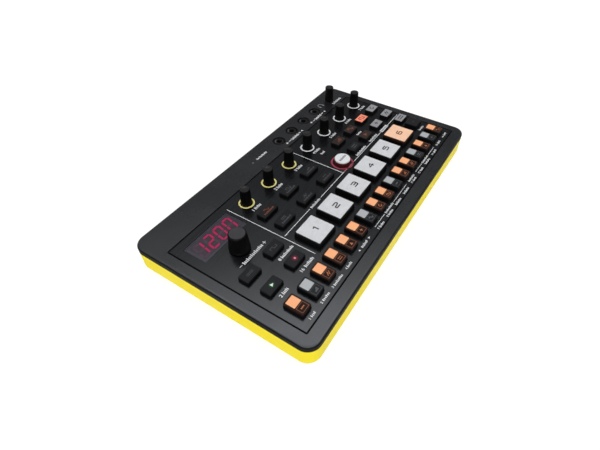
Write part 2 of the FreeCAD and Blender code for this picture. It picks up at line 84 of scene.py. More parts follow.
class Nodes:
    """Adds nodes to one tree and joins them."""

    def __init__(self, tree):
        self.tree = tree

    def fill(self, node, inputs):
        """Sets each named input, or links it where the value is another node's output."""
        for name, value in inputs.items():
            if isinstance(value, bpy.types.NodeSocket):
                self.tree.links.new(value, node.inputs[name])
            else:
                node.inputs[name].default_value = value

    def add(self, kind, inputs, output=0, **settings):
        """Adds a node and gives back one of its outputs."""
        node = self.tree.nodes.new(f"ShaderNode{kind}")
        for name, value in settings.items():
            setattr(node, name, value)
        self.fill(node, inputs)
        return node.outputs[output]

    def rays(self, *kinds):
        """1 for rays of the named kinds, 0 for all others."""
        path = self.tree.nodes.new("ShaderNodeLightPath")
        found = path.outputs[kinds[0]]
        for kind in kinds[1:]:
            found = self.add("Math", {0: found, 1: path.outputs[kind]}, operation="MAXIMUM")
        return found


class Shader(Nodes):
    """A material with the textures that the finishes share."""

    def __init__(self, name):
        self.material = bpy.data.materials.new(name)
        self.material.use_nodes = True
        super().__init__(self.material.node_tree)
        self.place = self.add("TexCoord", {}, "Object")

    def noise(self, scale, detail, stretch=None):
        place = self.place
        if stretch:
            place = self.add("Mapping", {"Scale": stretch, "Vector": place}, "Vector")
        return self.add("TexNoise", {"Scale": scale, "Detail": detail, "Vector": place}, "Fac")

    def spread(self, source, low, high, start=0.35, end=0.65):
        """Turns values from start to end into values from low to high."""
        limits = {"From Min": start, "From Max": end, "To Min": low, "To Max": high}
        return self.add("MapRange", {"Value": source, **limits}, "Result")

    def mix(self, share, first, second):
        return self.add("Mix", {"Factor": share, 6: first, 7: second}, 2, data_type="RGBA")

    def bump(self, source, relief, strength=0.5):
        inputs = {"Distance": relief * MM, "Strength": strength, "Height": source}
        return self.add("Bump", inputs, "Normal")

    def slopes(self):
        """1 on rounded and bevelled edges, 0 on level and upright faces."""
        normal = self.add("TexCoord", {}, "Normal")
        upward = self.add("SeparateXYZ", {"Vector": normal}, "Z")
        size = self.add("Math", {0: upward}, operation="ABSOLUTE")
        rising = self.spread(size, 0.0, 1.0, 0.12, 0.4)
        falling = self.spread(size, 1.0, 0.0, 0.82, 0.97)
        return self.add("Math", {0: rising, 1: falling}, operation="MULTIPLY")

    def finish(self, inputs):
        self.fill(self.tree.nodes["Principled BSDF"], inputs)
        return self.material


COOL = (0.9, 0.95, 1.0, 1.0)
NEUTRAL = (1.0, 1.0, 1.0, 1.0)
# Noise scales, for blotches of a few millimetres and for a grain that is barely seen
BLOTCHES = 320.0
FINE_GRAIN = 9000.0
# The painted glow on the sides of lit keys rises between these heights
GLOW_FOOT = PANEL + 1.7
GLOW_RIM = PANEL + 2.9


def glowing_side(name, dark, bright, glow):
    """Moulded side of a lit key, with painted glow in colour and emission: black at its foot, warm
    where light leaks at its rim.
    """
    shader = Shader(name)
    dark, bright = srgb(dark), srgb(bright)
    fine = shader.noise(FINE_GRAIN, 3.0)
    patches = shader.noise(BLOTCHES, 3.0)
    height = shader.add("SeparateXYZ", {"Vector": shader.place}, "Z")
    tone = shader.mix(shader.spread(height, 0.0, 1.0, GLOW_FOOT * MM, GLOW_RIM * MM), dark, bright)
    tone = shader.mix(shader.spread(patches, 0.0, 0.3), tone, dark)
    return shader.finish({
        "Base Color": tone, "Roughness": shader.spread(patches, 0.42, 0.56),
        "Specular IOR Level": 0.2, "Emission Color": tone, "Emission Strength": glow,
        "Normal": shader.bump(fine, 0.01),
    })


def plastic(name, screen, rough, mottle=0.1, grain=0.12, relief=0.01, specular=0.3, wear=0.0,
            coat=0.0, coat_rough=0.15, glow=0.0, light=None, sheen=NEUTRAL):
    """Moulded plastic: a spark-eroded grain, uneven tone and gloss, and rubbed edges."""
    shader = Shader(name)
    colour = srgb(screen)
    fine = shader.noise(1000 / grain, 3.0)
    coarse = shader.noise(45.0, 4.0)
    patches = shader.noise(BLOTCHES, 3.0)
    tone = shader.mix(patches, scaled(colour, 1 - mottle), scaled(colour, 1 + mottle))
    tone = shader.mix(shader.spread(fine, 0.0, 0.35), tone, scaled(colour, 1 + 2.2 * mottle))
    if wear:
        share = shader.add("Math", {
            0: shader.slopes(), 1: shader.spread(patches, 0.2 * wear, wear),
        }, operation="MULTIPLY")
        rubbed = (*(0.08 + 0.9 * channel for channel in colour[:3]), 1.0)
        tone = shader.mix(share, tone, rubbed)
    surface = {
        "Base Color": tone,
        "Roughness": shader.spread(coarse, rough * 0.88, min(1.0, rough * 1.14)),
        "Specular IOR Level": specular, "Specular Tint": sheen, "Coat Weight": coat,
        "Coat Roughness": coat_rough, "Normal": shader.bump(fine, relief),
    }
    if light:
        light = srgb(light)
        surface["Emission Color"] = shader.mix(patches, scaled(light, 0.8), scaled(light, 1.15))
        surface["Emission Strength"] = glow
    return shader.finish(surface)


def panel_sheet(name, screen):
    """Inlaid sheet: smooth hard coat over a dark film, with faint hairlines and dust specks."""
    shader = Shader(name)
    colour = srgb(screen)
    fine = shader.noise(FINE_GRAIN, 2.0)
    hair = shader.noise(900.0, 2.0, stretch=(0.04, 1.0, 1.0))
    tone = shader.mix(shader.noise(60.0, 3.0), scaled(colour, 0.93), scaled(colour, 1.08))
    return shader.finish({
        "Base Color": shader.mix(shader.spread(fine, 0.0, 0.25), tone, scaled(colour, 1.25)),
        "Roughness": shader.spread(hair, 0.18, 0.235), "Specular IOR Level": 0.68,
        "Specular Tint": COOL, "Normal": shader.bump(fine, 0.004, 0.4),
    })


def metal(name, screen, rough, stretch=(1.0, 1.0, 1.0)):
    """Plated metal with drawn streaks."""
    shader = Shader(name)
    colour = srgb(screen)
    streaks = shader.noise(2500.0, 3.0, stretch)
    stains = shader.noise(400.0, 4.0)
    return shader.finish({
        "Base Color": shader.mix(stains, scaled(colour, 0.82), scaled(colour, 1.1)),
        "Roughness": shader.spread(streaks, rough * 0.75, rough * 1.3), "Metallic": 1.0,
        "Normal": shader.bump(streaks, 0.01, 0.4),
    })


def rubber(name, screen):
    """Matte rubber with open pores and dusty high spots."""
    shader = Shader(name)
    colour = srgb(screen)
    pores = shader.add("TexVoronoi", {"Scale": 2600.0, "Vector": shader.place}, "Distance")
    dust = shader.noise(700.0, 5.0)
    return shader.finish({
        "Base Color": shader.mix(shader.spread(dust, 0.0, 0.5), colour, scaled(colour, 2.2)),
        "Roughness": shader.spread(dust, 0.78, 0.96), "Specular IOR Level": 0.2,
        "Normal": shader.bump(pores, 0.05, 0.6),
    })


def ink(name, screen, glow=0.0):
    """Screen-printed ink: slightly uneven, with pinholes and a dry surface. The halo materials use
    it for painted glow.
    """
    shader = Shader(name)
    colour = srgb(screen)
    thin = shader.noise(5200.0, 3.0)
    worn = shader.noise(700.0, 3.0)
    tone = shader.mix(shader.spread(thin, 0.0, 0.5), colour, scaled(colour, 0.82))
    tone = shader.mix(shader.spread(worn, 0.0, 0.2, 0.55, 0.8), tone, scaled(colour, 0.6))
    surface = {
        "Base Color": tone, "Roughness": shader.spread(worn, 0.5, 0.72),
        "Specular IOR Level": 0.25, "Normal": shader.bump(thin, 0.006),
    }
    if glow:
        surface.update({"Emission Color": tone, "Emission Strength": glow})
    return shader.finish(surface)


LIT = (250, 156, 100)
LIT_DEEP = (214, 92, 48)

case_charcoal = plastic(
    "case_charcoal_plastic", (23, 23, 25), rough=0.27, mottle=0.07, grain=0.16, specular=0.8,
    wear=0.05, sheen=COOL)
# Darker copy of the case plastic: painted shade for the case's upright sides and its recess floor
case_shaded = plastic(
    "case_side_plastic", (13, 13, 13), rough=0.6, grain=0.16, relief=0.02, specular=0.08, wear=0.02)
case_yellow = plastic(
    "case_yellow_plastic", (243, 224, 22), rough=0.5, mottle=0.03, grain=0.16, relief=0.015,
    specular=0.18, wear=0.06)
panel_charcoal = panel_sheet("panel_charcoal_sheet", (8, 8, 10))
key_black = plastic(
    "key_black_plastic", (20, 20, 22), rough=0.42, specular=0.22, wear=0.2, sheen=COOL)
key_side = plastic(
    "key_side_plastic", (7, 7, 8), rough=0.5, specular=0.16, wear=0.06, sheen=COOL)
key_grey = plastic("key_grey_plastic", (148, 148, 152), rough=0.45, mottle=0.06, wear=0.1)
window_grey = plastic("window_grey_plastic", (174, 177, 180), rough=0.42, mottle=0.05, wear=0.1)
pad_white = plastic(
    "pad_white_plastic", (205, 206, 209), rough=0.5, mottle=0.14, grain=0.7, relief=0.03, wear=0.1)
pad_lit = plastic(
    "pad_lit_plastic", (207, 182, 160), rough=0.5, mottle=0.12, grain=0.7, relief=0.03,
    glow=0.32, light=LIT)
window_lit = plastic(
    "window_lit_plastic", (200, 149, 112), rough=0.42, mottle=0.06, grain=0.2, glow=0.42, light=LIT)
window_red = plastic(
    "window_red_plastic", (196, 120, 98), rough=0.42, mottle=0.06, grain=0.2, glow=0.42,
    light=(255, 132, 96))
lit_front = plastic(
    "lit_front_plastic", (26, 10, 5), rough=0.5, mottle=0.16, specular=0.14, wear=0.08,
    glow=0.008, light=LIT_DEEP)
lit_side = glowing_side("lit_side_plastic", dark=(6, 5, 5), bright=(46, 20, 11), glow=0.12)
dim_face = plastic(
    "dim_face_plastic", (32, 27, 26), rough=0.42, mottle=0.14, wear=0.1, glow=0.012,
    light=LIT_DEEP)
button_white = plastic(
    "button_white_plastic", (226, 228, 231), rough=0.36, mottle=0.03, relief=0.008,
    specular=0.35, coat=0.2)
button_red = plastic(
    "button_red_plastic", (60, 12, 18), rough=0.4, mottle=0.12, glow=0.03, light=(200, 30, 50))
knob_black = plastic(
    "knob_black_plastic", (6, 6, 7), rough=0.4, relief=0.012, specular=0.09, wear=0.02)
# Slim knob tops are painted lighter than their grip: a painted sheen on the dished top
knob_top_sheen = plastic("knob_top_plastic", (28, 28, 30), rough=0.4, mottle=0.08, wear=0.1)
value_top = plastic(
    "value_top_plastic", (53, 53, 56), rough=0.5, mottle=0.05, grain=0.14, relief=0.012, wear=0.2)
foot_rubber = rubber("foot_rubber_compound", (34, 34, 35))
screw_steel = metal("screw_zinc_plate", (176, 176, 178), rough=0.34)
nickel = metal("nickel_plate", (196, 196, 198), rough=0.26, stretch=(1.0, 1.0, 0.1))
solder_mask = plastic(
    "solder_mask_coat", (18, 74, 46), rough=0.32, mottle=0.18, grain=0.5, relief=0.02,
    specular=0.5, coat=0.3)
part_black = plastic(
    "part_black_plastic", (24, 24, 25), rough=0.42, grain=0.14, relief=0.012, specular=0.4)
jack_face = plastic(
    "jack_face_plastic", (22, 22, 24), rough=0.4, grain=0.14, relief=0.012, specular=0.2)
battery_film = plastic(
    "battery_film_wrap", (160, 163, 168), rough=0.3, mottle=0.06, grain=1.8, relief=0.03,
    specular=0.5, coat=0.4)
display_film, display_shade = (
    plastic(
        name, screen, rough=0.3, grain=0.3, relief=0.004, specular=0.4, coat=0.35, coat_rough=0.1)
    for name, screen in (("display_film_face", (54, 53, 64)), ("display_shade_face", (46, 38, 49)))
)
light_pipe = plastic(
    "light_pipe_plastic", (92, 92, 96), rough=0.25, mottle=0.05, grain=0.2, relief=0.004,
    specular=0.5, coat=0.4)
ink_white = ink("ink_white_print", (232, 233, 235))
ink_dim = ink("ink_dim_print", (132, 133, 137))
ink_mid = ink("ink_mid_print", (108, 109, 114))
ink_grey = ink("ink_grey_print", (78, 79, 84))
ink_dark = ink("ink_dark_print", (46, 46, 52))
ink_yellow = ink("ink_yellow_print", (240, 229, 146))
ink_red = ink("ink_red_print", (160, 60, 80))
ink_pink = ink("ink_pink_print", (196, 120, 134))
ink_lit = ink("ink_lit_mark", (182, 112, 76), glow=0.12)
ink_frame = ink("ink_frame_mark", (138, 90, 68), glow=0.08)
ink_ember = ink("ink_ember_mark", (126, 70, 46), glow=0.1)
ink_brown = ink("ink_brown_mark", (112, 68, 50), glow=0.04)
ink_digit = ink("ink_digit_glow", (150, 30, 74), glow=0.28)
ink_digit_off = ink("ink_digit_rest", (76, 58, 72))
ink_green = ink("ink_green_glow", (204, 232, 212), glow=0.1)
ink_rose = ink("ink_rose_glow", (208, 138, 154), glow=0.1)
# Halos: painted glow, light spilling round lit digits and buttons
halo_digit = ink("halo_digit_glow", (74, 27, 46), glow=0.12)
halo_ring = ink("halo_ring_glow", (24, 5, 9), glow=0.03)
halo_green = ink("halo_green_glow", (16, 48, 26), glow=0.05)
halo_red = ink("halo_red_glow", (92, 18, 40), glow=0.05)


# Meshes

class Builder:
    """Collects points and faces with their materials, and makes one piece of them."""

    def __init__(self):
        self.points = []
        self.faces = []
        self.kinds = []
        self.smooth = []
        self.materials = []

    def add(self, points, faces, material, smooth=False):
        start = len(self.points)
        self.points.extend(points)
        if material not in self.materials:
            self.materials.append(material)
        self.faces.extend([start + corner for corner in face] for face in faces)
        self.kinds.extend([self.materials.index(material)] * len(faces))
        self.smooth.extend([smooth] * len(faces))

    def loft(self, loops, material, bottom=True, top=True, smooth=True, top_material=None):
        """Closed loops of equal length, joined from the first to the last."""
        size = len(loops[0])
        faces = []
        for low in range(0, size * (len(loops) - 1), size):
            for i in range(size):
                after = (i + 1) % size
                faces.append((low + i, low + after, low + size + after, low + size + i))
        self.add([point for loop in loops for point in loop], faces, material, smooth)
        if bottom:
            self.add(loops[0], [range(size)[::-1]], material)
        if top:
            self.add(loops[-1], [range(size)], top_material or material)

    def plate(self, outline, low, high, material):
        """Flat shape with upright sides."""
        loops = [[(x, y, z) for x, y in outline] for z in (low, high)]
        self.loft(loops, material, smooth=False)

    def piece(self, name, body, slot=None):
        mesh = bpy.data.meshes.new(name)
        mesh.from_pydata([Vector(point) * MM for point in self.points], [], self.faces)
        for material in self.materials:
            mesh.materials.append(material)
        mesh.polygons.foreach_set("material_index", self.kinds)
        mesh.polygons.foreach_set("use_smooth", self.smooth)
        work = bmesh.new()
        work.from_mesh(mesh)
        bmesh.ops.remove_doubles(work, verts=work.verts, dist=1e-6)
        for edge in work.edges:
            sharp = len(edge.link_faces) == 2 and edge.calc_face_angle(0) > SHARP_EDGE
            edge.smooth = not sharp
        work.to_mesh(mesh)
        work.free()
        mesh.update()
        made = put(name, mesh)
        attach(made, body)
        return made


def stand_in(builder, name, node, slot):
    """Makes the piece that is seen in place of a CAD node."""
    made = builder.piece(name, node, slot)
    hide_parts(node)


def rectangle(width, depth):
    w, d = width / 2, depth / 2
    return [(-w, -d), (w, -d), (w, d), (-w, d)]


def rounded(x, y, width, depth, radius, z, steps=5):
    """Level rounded rectangle, counter-clockwise from above."""
    loop = []
    w, d = width / 2 - radius, depth / 2 - radius
    for cx, cy, start in ((w, d, 0), (-w, d, 90), (-w, -d, 180), (w, -d, 270)):
        for i in range(steps + 1):
            angle = math.radians(start + 90 * i / steps)
            loop.append((x + cx + radius * math.cos(angle), y + cy + radius * math.sin(angle), z))
    return loop


PER_RIB = 6


def circle(x, y, radius, z, steps=48, groove=0.0):
    """Level circle, cut by a shallow groove once in every PER_RIB points."""
    loop = []
    for i in range(steps):
        size = radius - groove * max(0.0, math.cos(FULL_TURN * i / PER_RIB)) ** 2
        angle = FULL_TURN * i / steps
        loop.append((x + size * math.cos(angle), y + size * math.sin(angle), z))
    return loop


def turned(x, y, profile, steps=48):
    """Circles of a turned shape, from the radius, height and groove at each level."""
    return [circle(x, y, radius, z, steps, *groove) for radius, z, *groove in profile]


def disc(radius, steps):
    return [(x, y) for x, y, _ in circle(0, 0, radius, 0, steps)]


def edge_steps(size, steps=4):
    """Inset and drop along a quarter-round edge, from above its foot to its top."""
    angles = [math.pi / 2 * i / steps for i in range(1, steps + 1)]
    return [(size * (1 - math.cos(angle)), size * (1 - math.sin(angle))) for angle in angles]


def edge_loops(x, y, width, depth, radius, top, edge, steps=4, least=0.12):
    """Rounded rectangles of a quarter-round edge, whose corners keep the least radius."""
    return [
        rounded(x, y, width - 2 * inset, depth - 2 * inset, max(least, radius - inset), top - drop)
        for inset, drop in edge_steps(edge, steps)
    ]


PAD_DIGITS = {
    "1": [[(-0.25, 0.38), (0.12, 0.5), (0.12, -0.5)]],
    "2": [[(-0.5, 0.5), (0.5, 0.5), (0.5, 0.05), (-0.5, -0.15), (-0.5, -0.5), (0.5, -0.5)]],
    "3": [[(-0.5, 0.5), (0.5, 0.5), (0.5, -0.5), (-0.5, -0.5)], [(-0.3, 0.0), (0.5, 0.0)]],
    "4": [[(0.28, 0.5), (-0.5, -0.16), (0.6, -0.16)], [(0.28, 0.5), (0.28, -0.5)]],
    "5": [[(0.5, 0.5), (-0.45, 0.5), (-0.5, 0.08), (0.5, 0.08), (0.5, -0.5), (-0.5, -0.5)]],
    "6": [[(0.42, 0.5), (-0.5, 0.5), (-0.5, -0.5), (0.5, -0.5), (0.5, 0.05), (-0.5, 0.05)]],
}
PAD_CORNER = 0.7
NUMBER_WIDEN = 1.15
GLYPHS = {}


def glyph(text):
    """Points, faces and rims of a plain number, one unit high and centred on its middle."""
    if text not in GLYPHS:
        curve = bpy.data.curves.new("number_outline", "FONT")
        curve.body = text
        curve.resolution_u = 3
        curve.offset = 0.018
        holder = put("number_outline", curve)
        bpy.context.view_layer.update()
        graph = bpy.context.evaluated_depsgraph_get()
        mesh = bpy.data.meshes.new_from_object(holder.evaluated_get(graph))
        work = bmesh.new()
        work.from_mesh(mesh)
        bmesh.ops.remove_doubles(work, verts=work.verts, dist=1e-5)
        xs = [v.co.x for v in work.verts]
        ys = [v.co.y for v in work.verts]
        cx, cy = (min(xs) + max(xs)) / 2, (min(ys) + max(ys)) / 2
        high = max(ys) - min(ys)
        points = [((px - cx) / high, (py - cy) / high) for px, py in zip(xs, ys)]
        faces = [[v.index for v in f.verts] for f in work.faces]
        loops = [e.link_loops[0] for e in work.edges if len(e.link_faces) == 1]
        rims = [(loop.vert.index, loop.link_loop_next.vert.index) for loop in loops]
        work.free()
        bpy.data.meshes.remove(mesh)
        bpy.data.objects.remove(holder)
        bpy.data.curves.remove(curve)
        GLYPHS[text] = (points, faces, rims)
    return GLYPHS[text]


class Printer:
    """Prints marks at height z, as thin closed plates let halfway into the surface."""

    def __init__(self, builder, z):
        self.builder = builder
        self.z = z
        self.levels = (z - INK_DEPTH, z + INK_RISE)

    def raised(self, hairs):
        """Prints some hairs higher, because marks that overlap must not share a plane."""
        return Printer(self.builder, self.z + hairs * HAIR)

    def shape(self, x, y, outline, material):
        outline = [(x + px, y + py) for px, py in outline]
        self.builder.plate(outline, *self.levels, material)

    def bar(self, x, y, width, depth, material=ink_white):
        self.shape(x, y, rectangle(width, depth), material)

    def frame(self, x, y, width, depth, line, material):
        """Thin outlined rectangle."""
        for side in (1, -1):
            self.bar(x, y + side * (depth - line) / 2, width, line, material)
        for side in (-1, 1):
            self.bar(x + side * (width - line) / 2, y, line, depth - 2 * line, material)

    def ring(self, x, y, inner, outer, material, start=0.0, end=360.0, steps=64):
        """Whole ring, or an arc of one."""
        low, high = self.levels
        whole = end - start >= 360
        count = steps if whole else steps + 1
        points = []
        for radius, level in ((inner, low), (outer, low), (outer, high), (inner, high)):
            for i in range(count):
                angle = math.radians(start + (end - start) * i / steps)
                points.append((x + radius * math.cos(angle), y + radius * math.sin(angle), level))
        faces = []
        for side in range(0, 4 * count, count):
            other = (side + count) % (4 * count)
            for i in range(steps):
                after = (i + 1) % count
                faces.append((side + i, side + after, other + after, other + i))
        if not whole:
            faces.append((3 * count, 2 * count, count, 0))
            faces.append((count - 1, 2 * count - 1, 3 * count - 1, 4 * count - 1))
        self.builder.add(points, faces, material)

    def stroke(self, x, y, path, width, material, corner=0.0):
        """Line of even width along a path, with rounded corners."""
        path = [Vector(point) for point in path]
        line = [path[0]]
        for before, here, after in zip(path, path[1:], path[2:]):
            first, second = before - here, after - here
            reach = min(corner, first.length / 2, second.length / 2)
            if reach <= 0:
                line.append(here)
                continue
            start = here + first.normalized() * reach
            end = here + second.normalized() * reach
            for t in (0.0, 0.25, 0.5, 0.75, 1.0):
                line.append(start * (1 - t) ** 2 + here * 2 * t * (1 - t) + end * t ** 2)
        line.append(path[-1])
        left, right = [], []
        for i, here in enumerate(line):
            into = (here - line[i - 1] if i else line[1] - here).normalized()
            away = (line[i + 1] - here).normalized() if i < len(line) - 1 else into
            mean = (into + away).normalized()
            half = width / 2 / max(0.4, abs(mean.dot(into)))
            left.append((x + here.x - mean.y * half, y + here.y + mean.x * half))
            right.append((x + here.x + mean.y * half, y + here.y - mean.x * half))
        count = len(line)
        points = [(px, py, level) for level in self.levels for px, py in left + right]
        faces = []
        for a in range(count - 1):
            b, c, d = count + a, 2 * count + a, 3 * count + a
            faces.append((a, a + 1, b + 1, b))
            faces.append((c, d, d + 1, c + 1))
            faces.append((a, c, c + 1, a + 1))
            faces.append((b, b + 1, d + 1, d))
        faces.append((0, count, 3 * count, 2 * count))
        faces.append((count - 1, 3 * count - 1, 4 * count - 1, 2 * count - 1))
        self.builder.add(points, faces, material)

    def digit(self, text, x, y, width, height, line, material):
        """Wide plain digit drawn with one even line."""
        for order, path in enumerate(PAD_DIGITS[text]):
            path = [(px * (width - line), py * (height - line)) for px, py in path]
            corner = 0.0 if text in "14" else PAD_CORNER
            self.raised(6 * order).stroke(x, y, path, line, material, corner)

    def number(self, text, x, y, height):
        points, faces, rims = glyph(text)
        count = len(points)
        levels = [
            [(x + px * height * NUMBER_WIDEN, y + py * height, level) for px, py in points]
            for level in self.levels
        ]
        under = [face[::-1] for face in faces]
        over = [[corner + count for corner in face] for face in faces]
        sides = [(b + count, a + count, a, b) for a, b in rims]
        self.builder.add(levels[0] + levels[1], under + over + sides, ink_white)

    def ticks(self, x, y, width, height, material=ink_white, pitch=0.85):
        """Plain scale of short upright strokes, every third one tall."""
        count = max(2, int(round(width / pitch)))
        for i in range(count):
            tall = height if i % 3 == 0 else height * 0.75
            spot = x - width / 2 + (i + 0.5) * width / count
            self.bar(spot, y - (height - tall) / 2, 0.6 * width / count, tall, material)

    def label(self, text, x, y, width, height):
        """A plain number with a scale beside it."""
        room = 0.95 * height * len(text)
        self.number(text, x - width / 2 + room / 2, y, height)
        self.ticks(x + room / 2 + 0.2, y, width - room - 0.4, height)

    def wave(self, x, y, width, height, form, material=ink_white, line=0.28):
        """Small generic symbol, one of several kinds."""
        w, h = width / 2, height / 2
        paths = {
            "square": [(-w, -h), (-w, h), (0, h), (0, -h), (w, -h), (w, h)],
            "saw": [(-w, -h), (0, h), (0, -h), (w, h)],
            "sine": [(w * (i / 8 - 1), h * math.sin(math.pi * i / 8)) for i in range(17)],
        }
        outlines = {
            "left": [(-h, 0), (h, -h), (h, h)],
            "right": [(h, 0), (-h, h), (-h, -h)],
            "up": [(0, h), (-h, -h), (h, -h)],
        }
        if form in paths:
            self.stroke(x, y, paths[form], line, material)
        elif form in outlines:
            self.shape(x, y, outlines[form], material)
        elif form == "dots":
            for i in (-1, 0, 1):
                self.bar(x + i * width / 3, y, 1.8 * line, 1.8 * line, material)
        elif form == "steps":
            for i in (1, 2, 3, 4):
                spot = x + (i - 2.5) * width / 4
                self.bar(spot, y - h + i * height / 8, width / 7, i * height / 4, material)
        elif form == "lines":
            for i in (-1, 1):
                self.bar(x, y + i * height * 0.3, width, line, material)
        elif form == "loop":
            self.ring(x, y, h - line / 2, h + line / 2, material, 60, 360, 24)
        elif form in ("plus", "minus"):
            self.bar(x, y, height, line, material)
            for side in (1, -1) if form == "plus" else ():
                self.bar(x, y + side * (h + line / 2) / 2, line, h - line / 2, material)


# The CAD nodes that stay, with their finishes

def finish_node(name, *materials):
    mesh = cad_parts[name].data
    mesh.materials.clear()
    for material in materials:
        mesh.materials.append(material)
    return mesh


finish_node("control_panel", panel_charcoal)
finish_node("bottom_case", case_yellow)
finish_node("battery_pack", battery_film)
finish_node("case_screws", screw_steel)
finish_node("rubber_feet", foot_rubber)

LEVEL = 0.72
SEAM = 10.9
RIM_WIDTH = 2.5
RECESS_FLOOR = (13.3, 13.7)


def finish_top_case():
    """Its upright outside and the floor of its recess are coarser and duller than its top, and
    painted darker as shade.
    """
    mesh = finish_node("top_case", case_charcoal, case_shaded)
    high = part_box("top_case")[1]
    for polygon in mesh.polygons:
        spot = polygon.center
        outer = min(high.x - abs(spot.x), high.y - abs(spot.y)) < RIM_WIDTH * MM
        level = polygon.normal.z > LEVEL
        side = outer and polygon.normal.z < LEVEL and spot.z > SEAM * MM
        # The recess floor takes the darker plastic as painted shade in the groove round the panel
        if side or (level and RECESS_FLOOR[0] * MM < spot.z < RECESS_FLOOR[1] * MM):
            polygon.material_index = 1


finish_top_case()


def shells(mesh):
    """Sets of polygons that hang together, with their boxes in millimetres."""
    owner = {}

    def root(key):
        while owner[key] != key:
            owner[key] = owner[owner[key]]
            key = owner[key]
        return key

    keys = [tuple(round(value * 1e6) for value in v.co) for v in mesh.vertices]
    for key in keys:
        owner.setdefault(key, key)
    for polygon in mesh.polygons:
        first = root(keys[polygon.vertices[0]])
        for index in polygon.vertices[1:]:
            owner[root(keys[index])] = first
    groups = {}
    for polygon in mesh.polygons:
        groups.setdefault(root(keys[polygon.vertices[0]]), []).append(polygon)
    for polygons in groups.values():
        points = [mesh.vertices[i].co / MM for p in polygons for i in p.vertices]
        low = [min(point[axis] for point in points) for axis in range(3)]
        high = [max(point[axis] for point in points) for axis in range(3)]
        yield polygons, low, high


BOARD_TOP = 5.25
SOCKET_TOP = (14.1, 14.3)


def finish_board():
    """The board carries parts of several kinds, told apart by size and place."""
    mesh = finish_node(
        "circuit_board", solder_mask, nickel, part_black, display_film, light_pipe, jack_face)
    mask, metal_part, black_part, film, pipe, socket_face = range(6)
    for polygons, low, high in shells(mesh):
        width, depth = high[0] - low[0], high[1] - low[1]
        top, middle = high[2], (low[1] + high[1]) / 2
        pot = 8.5 < width < 12 and depth < 13 and middle < 45 and top < 13
        rear_port = 8.5 < width < 9.5 and high[1] > 52
        if width > 150:
            kind = mask
        elif 28 < width < 32 and top > 13:
            kind = film
        elif top > SOCKET_TOP[1]:
            kind = pipe
        else:
            kind = metal_part if pot or rear_port else black_part
        for polygon in polygons:
            polygon.material_index = kind
            height = polygon.center.z / MM
            if kind == mask and height > BOARD_TOP:
                polygon.material_index = black_part
            level = polygon.normal.z > 0.9
            if kind == black_part and level and SOCKET_TOP[0] < height < SOCKET_TOP[1]:
                polygon.material_index = socket_face


finish_board()


# Keys

marks = {}


def printer_on(body, z):
    """Prints on a moving body, whose marks become one piece at the end."""
    return Printer(marks.setdefault(body, Builder()), z)


def body_box(node):
    return [[value / MM for value in corner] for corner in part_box(node)]


def place_of(node):
    low, high = body_box(node)
    return (low[0] + high[0]) / 2, (low[1] + high[1]) / 2


FACE_SINK = 0.2
FACE_RISE = 0.15
FACE_EDGE = 0.1


def make_cap(node, width, depth, top, radius, edge, side, roof, slot):
    """Key cap with its collar under the case's roof, a quarter-round edge and a level top."""
    x, y = place_of(node)
    z = PANEL + top
    wide, deep = width + COLLAR_SPREAD, depth + COLLAR_SPREAD
    loops = [rounded(x, y, w, d, radius, level) for w, d, level in (
        (wide - 0.1, deep - 0.1, COLLAR_LOW), (wide, deep, COLLAR_LOW + 0.05),
        (wide, deep, COLLAR_HIGH), (width, depth, COLLAR_HIGH), (width, depth, z - edge),
    )]
    body = Builder()
    body.loft(loops + edge_loops(x, y, width, depth, radius, z, edge), side, top_material=roof)
    stand_in(body, f"{node}_cap", node, slot)


def make_face(node, part, x, y, width, depth, top, radius, material, slot):
    """Raised face set in the top of a cap; gives back its height."""
    high = PANEL + top + FACE_RISE
    loops = [
        rounded(x, y, width, depth, radius, z)
        for z in (PANEL + top - FACE_SINK, high - FACE_EDGE)
    ]
    loops += edge_loops(x, y, width, depth, radius, high, FACE_EDGE, 3, 0.05)
    builder = Builder()
    builder.loft(loops, material)
    builder.piece(f"{node}_{part}", node, slot)
    return high


PAD_SIZE = 15.4
PAD_FACE = 14.1
PAD_TOP = 3.35
LIT_PAD = 6


def make_pad(index):
    node = f"pad_{index}"
    x, y = place_of(node)
    lit = index == LIT_PAD
    side = lit_side if lit else key_side
    roof = pad_lit if lit else pad_white
    tint = ink_brown if lit else ink_dark
    make_cap(node, PAD_SIZE, PAD_SIZE, PAD_TOP, 0.9, 0.45, side, side, "pad_white")
    high = make_face(
        node, "face", x, y, PAD_FACE, PAD_FACE, PAD_TOP, 0.55, roof, "pad_white")
    printer_on(node, high).digit(
        str(index), x + 0.3, y - 0.2, width=4.1, height=3.6, line=0.7, material=tint)


for pad_index in range(1, 7):
    make_pad(pad_index)

STEP_WIDTH = 6.8
STEP_DEPTH = 10.6
STEP_TOP = 2.65
WINDOW_WIDTH = 5.1
WINDOW_DEPTH = 4.9
WINDOW_MARGIN = 0.85
SYMBOL_MIDDLE = 2.5
LIT_STEPS = (1, 3, 4, 5, 6, 8, 9, 11, 12, 14, 16)
STEP_FORMS = ("square", "dots", "steps", "saw", "lines", "up", "plus", "sine", "loop")


def make_step(index):
    node = f"step_key_{index:02d}"
    x, y = place_of(node)
    if index in LIT_STEPS:
        side, roof, window, tint, border = lit_side, lit_front, window_lit, ink_lit, ink_frame
    else:
        side, roof, window, tint, border = key_side, key_black, window_grey, ink_mid, ink_grey
    make_cap(node, STEP_WIDTH, STEP_DEPTH, STEP_TOP, 0.6, 0.28, side, roof, "key_black")
    window_y = y + STEP_DEPTH / 2 - WINDOW_MARGIN - WINDOW_DEPTH / 2
    make_face(
        node, "window", x, window_y, WINDOW_WIDTH, WINDOW_DEPTH, STEP_TOP, 0.35, window,
        "key_black")
    box_y = y - STEP_DEPTH / 2 + SYMBOL_MIDDLE
    on = printer_on(node, PANEL + STEP_TOP)
    on.frame(x, box_y, 5.0, 3.7, 0.2, border)
    on.wave(x, box_y, 2.5, 1.7, STEP_FORMS[index % len(STEP_FORMS)], tint, 0.34)


for step_index in range(1, 17):
    make_step(step_index)

BUTTON_TOP = 2.15
BUTTON_MARGIN = 0.45
